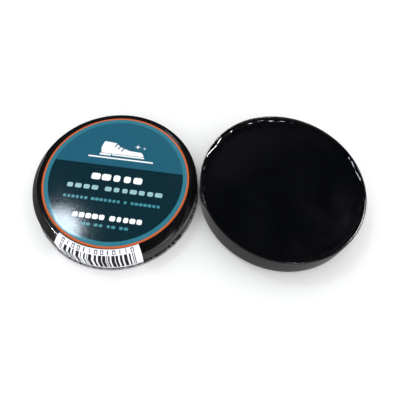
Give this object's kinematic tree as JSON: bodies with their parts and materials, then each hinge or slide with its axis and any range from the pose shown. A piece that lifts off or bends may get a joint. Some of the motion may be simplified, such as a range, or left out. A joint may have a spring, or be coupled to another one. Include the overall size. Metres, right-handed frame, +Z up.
{
  "type": "shoe polish tin",
  "caption": "Round shallow tin of black shoe polish, opened: the filled base stands beside its loose press-on lid, which lies face up with a round label and a bar code strip.",
  "frame": {"origin": "centre of the underside of the base, at table height", "axes": "+Z up out of the open base; +X from the lid towards the base, so the lid lies on the -X side; +Y away from the side that carries the bar code strip"},
  "size_m": [0.1895, 0.0964, 0.0169],
  "materials": {
    "base_tinplate": "satin",
    "lid_tinplate": "gloss",
    "black_wax": "gloss",
    "label_print": "satin",
    "sticker_paper": "matte"
  },
  "bodies": {
    "base": {"base_shell": "base_tinplate", "polish": "black_wax"},
    "lid": {"lid_shell": "lid_tinplate", "round_label": "label_print", "barcode_sticker": "sticker_paper"}
  },
  "joints": [
    {"name": "lid_lift", "type": "slide", "parent": "base", "child": "lid", "axis": [0, 0, 1], "range_m": [0, 0.045]}
  ]
}
